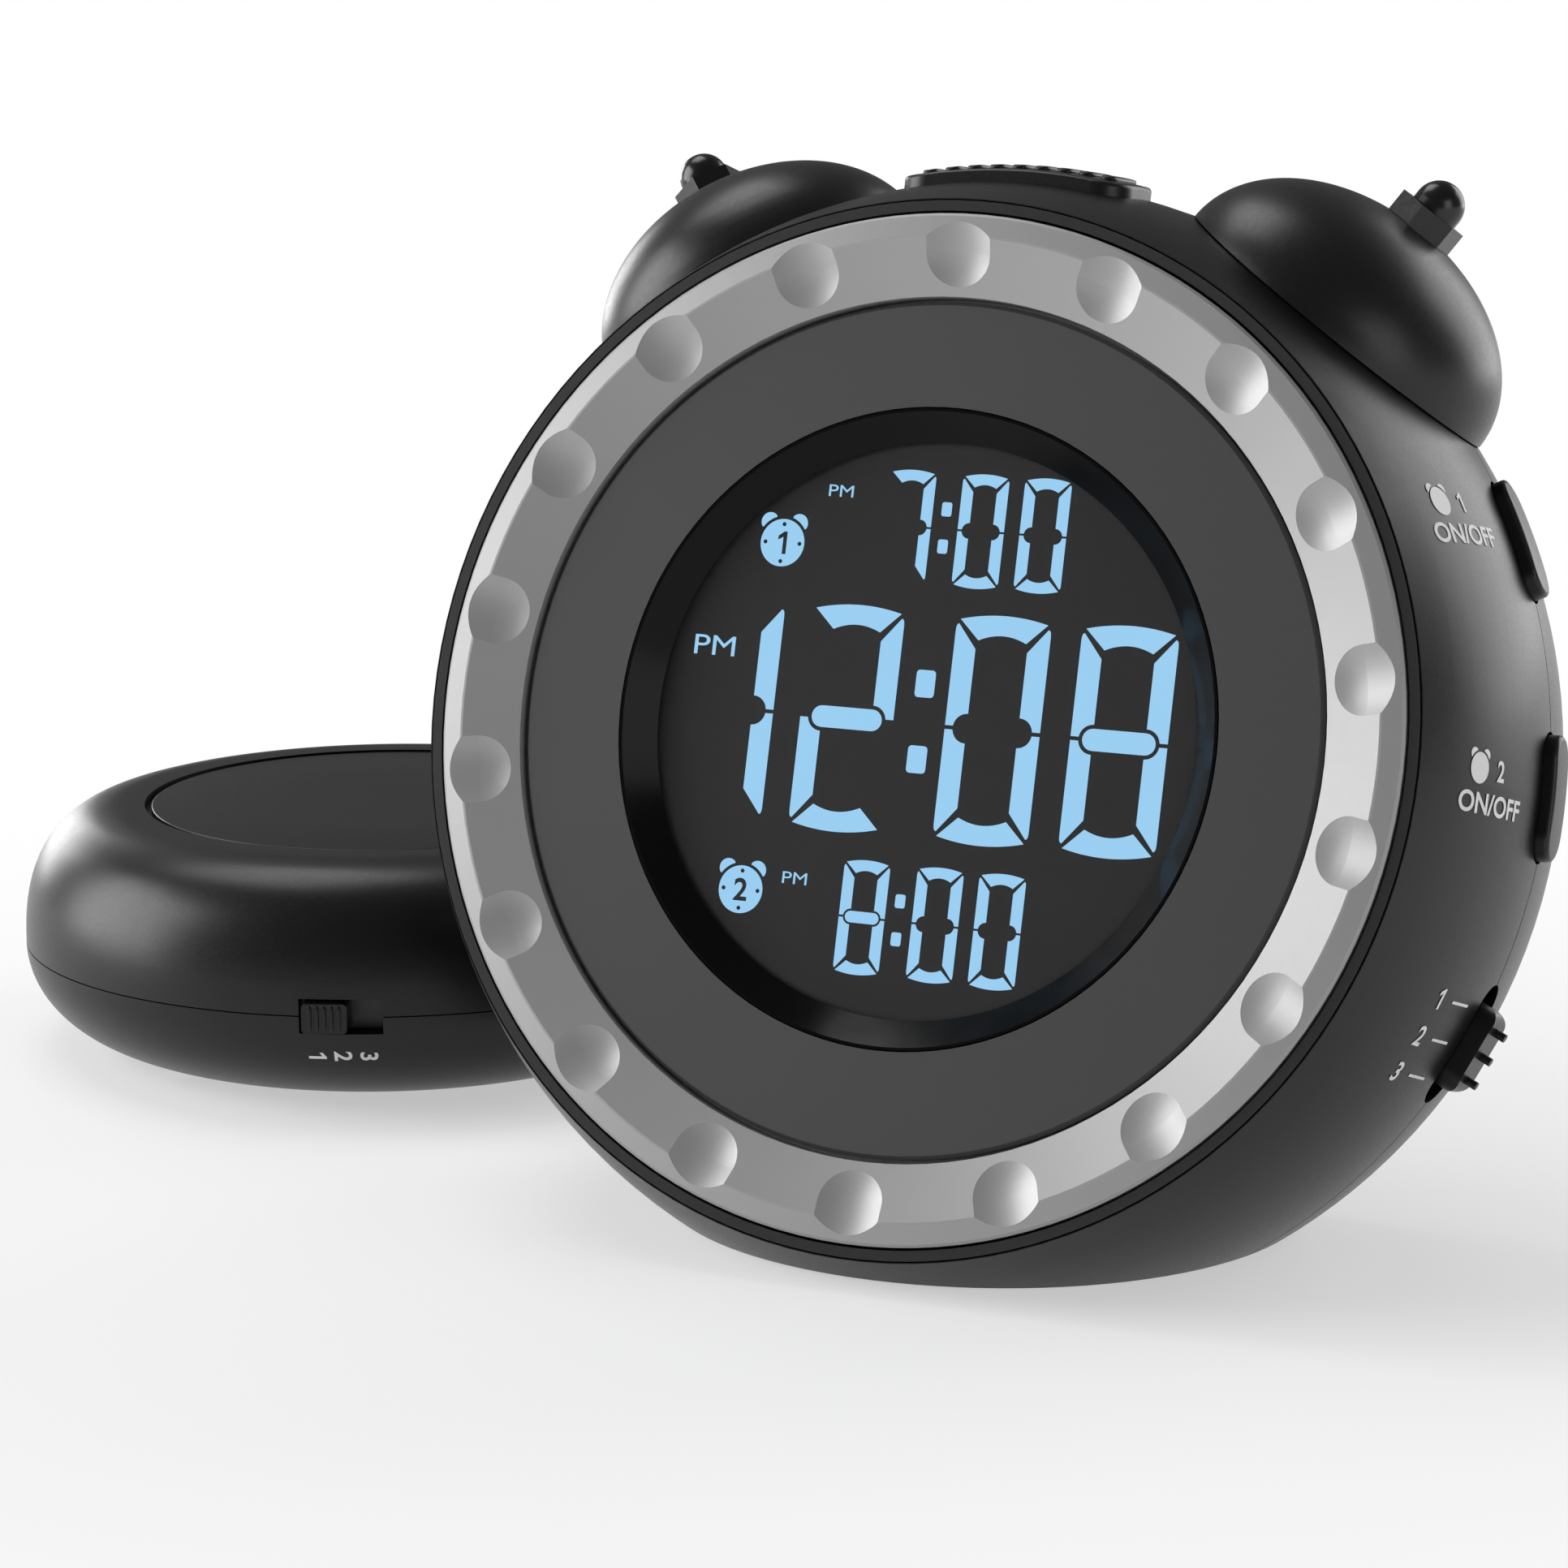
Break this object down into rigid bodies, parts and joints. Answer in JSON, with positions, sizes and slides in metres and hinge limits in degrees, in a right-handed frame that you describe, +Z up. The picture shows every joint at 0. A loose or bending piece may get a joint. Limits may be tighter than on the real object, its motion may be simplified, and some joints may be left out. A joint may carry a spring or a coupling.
{
  "type": "bed shaker alarm clock",
  "caption": "Round alarm clock leaning back on a flat foot, with a dimpled turning ring, twin bells, a digital display and a separate disc shaped bed shaker.",
  "frame": {"origin": "middle of the front rubber pad width under the clock, on the table", "axes": "+Z up; the clock looks along -Y and leans back; +X to the clock's right as seen from the front"},
  "size_m": [0.2026, 0.1184, 0.1124],
  "materials": {
    "case_black": "fine matte",
    "rim_black": "satin",
    "ring_silver": "silver satin",
    "face_grey": "satin",
    "recess_black": "high gloss",
    "window_smoke": "smoked clear plastic",
    "panel_dark": "smooth",
    "light_white": "milky",
    "inner_black": "plain",
    "strip_rubber": "plain",
    "board_green": "solder mask",
    "chip_black": "plain",
    "can_metal": "satin",
    "bell_black": "satin paint",
    "nut_black": "black plated",
    "steel": "zinc plated",
    "brass_leaf": "bright",
    "magnet_grey": "sintered",
    "cone_paper": "paper cone",
    "cell_steel": "bright",
    "pad_rubber": "plain",
    "button_black": "satin",
    "label_black": "satin film",
    "weight_steel": "plain",
    "switch_white": "plain"
  },
  "bodies": {
    "clock": {"main_case": "case_black", "rear_cover": "case_black", "front_rim": "rim_black", "ring_code_board": "board_green", "face_plate": "face_grey", "display_recess": "recess_black", "display_window": "window_smoke", "display_panel": "panel_dark", "display_light": "light_white", "display_frame": "inner_black", "contact_strips": "strip_rubber", "main_board": "board_green", "board_chips": "chip_black", "board_capacitors": "can_metal", "bell_left": "bell_black", "bell_right": "bell_black", "bell_nuts": "nut_black", "bell_studs": "steel", "mode_switch_body": "switch_white", "switch_boards": "board_green", "press_switches": "switch_white", "rear_board": "board_green", "rear_press_switches": "switch_white", "volume_control": "inner_black", "power_inlet": "inner_black", "shaker_socket": "inner_black", "speaker_basket": "steel", "speaker_cone": "cone_paper", "speaker_magnet": "magnet_grey", "coin_cell": "cell_steel", "cell_contact": "brass_leaf", "case_screws": "steel", "foot_pads": "pad_rubber"},
    "ring": {"setting_ring": "ring_silver", "ring_contact_leaves": "brass_leaf"},
    "snooze": {"snooze_pad": "button_black"},
    "alarm_1": {"alarm_1_button": "button_black"},
    "alarm_2": {"alarm_2_button": "button_black"},
    "mode_knob": {"mode_switch_knob": "button_black"},
    "door": {"cell_door": "case_black"},
    "volume": {"volume_knob": "button_black"},
    "time_set": {"time_set_button": "button_black"},
    "dimmer": {"dimmer_button": "button_black"},
    "shaker": {"shaker_upper_shell": "case_black", "shaker_lower_shell": "case_black", "shaker_label_disc": "label_black", "shaker_pad_ring": "pad_rubber", "shaker_screws": "steel", "shaker_cord_gland": "pad_rubber", "shaker_level_body": "switch_white", "shaker_board": "board_green", "shaker_motor": "can_metal", "motor_cradles": "inner_black"},
    "level_knob": {"shaker_level_knob": "button_black"},
    "weight": {"shaker_weight": "weight_steel"}
  },
  "joints": [
    {"name": "setting_ring_turn", "type": "hinge", "parent": "clock", "child": "ring", "pos_m": [0, -0.0107, 0.057], "axis": [0, -0.9608, 0.2773], "continuous": true},
    {"name": "snooze_press", "type": "slide", "parent": "clock", "child": "snooze", "axis": [0, -0.2773, -0.9608], "range_m": [0, 0.0005], "stiffness_N_per_m": 800, "springref_m": -0.0005},
    {"name": "alarm_1_press", "type": "slide", "parent": "clock", "child": "alarm_1", "axis": [-0.8996, -0.1211, -0.4197], "range_m": [0, 0.0008], "stiffness_N_per_m": 1500, "springref_m": -0.0004},
    {"name": "alarm_2_press", "type": "slide", "parent": "clock", "child": "alarm_2", "axis": [-1, -0.001, -0.0034], "range_m": [0, 0.0008], "stiffness_N_per_m": 1500, "springref_m": -0.0004},
    {"name": "mode_switch_slide", "type": "slide", "parent": "clock", "child": "mode_knob", "axis": [-0.4289, -0.2505, -0.8679], "range_m": [-0.002, 0.002]},
    {"name": "cell_door_open", "type": "hinge", "parent": "clock", "child": "door", "pos_m": [-0.02305, 0.02586, 0.01885], "axis": [-1, 0, 0], "range_deg": [0, 90]},
    {"name": "volume_turn", "type": "hinge", "parent": "clock", "child": "volume", "pos_m": [0.01703, 0.03371, 0.0432], "axis": [0, 0.9608, -0.2773], "range_deg": [-135, 135]},
    {"name": "time_set_press", "type": "slide", "parent": "clock", "child": "time_set", "axis": [0, -0.9608, 0.2773], "range_m": [0, 0.001], "stiffness_N_per_m": 1200, "springref_m": -0.0004},
    {"name": "dimmer_press", "type": "slide", "parent": "clock", "child": "dimmer", "axis": [0, -0.9608, 0.2773], "range_m": [0, 0.001], "stiffness_N_per_m": 1200, "springref_m": -0.0004},
    {"name": "shaker_slide_away", "type": "slide", "parent": "clock", "child": "shaker", "axis": [-1, 0, 0], "range_m": [0, 0.12]},
    {"name": "shaker_level_slide", "type": "slide", "parent": "shaker", "child": "level_knob", "axis": [0.9252, 0.3795, 0], "range_m": [0, 0.0036]},
    {"name": "shaker_weight_spin", "type": "hinge", "parent": "shaker", "child": "weight", "pos_m": [-0.0953, 0.0482, 0.0142], "axis": [0.9252, 0.3795, 0], "continuous": true}
  ]
}
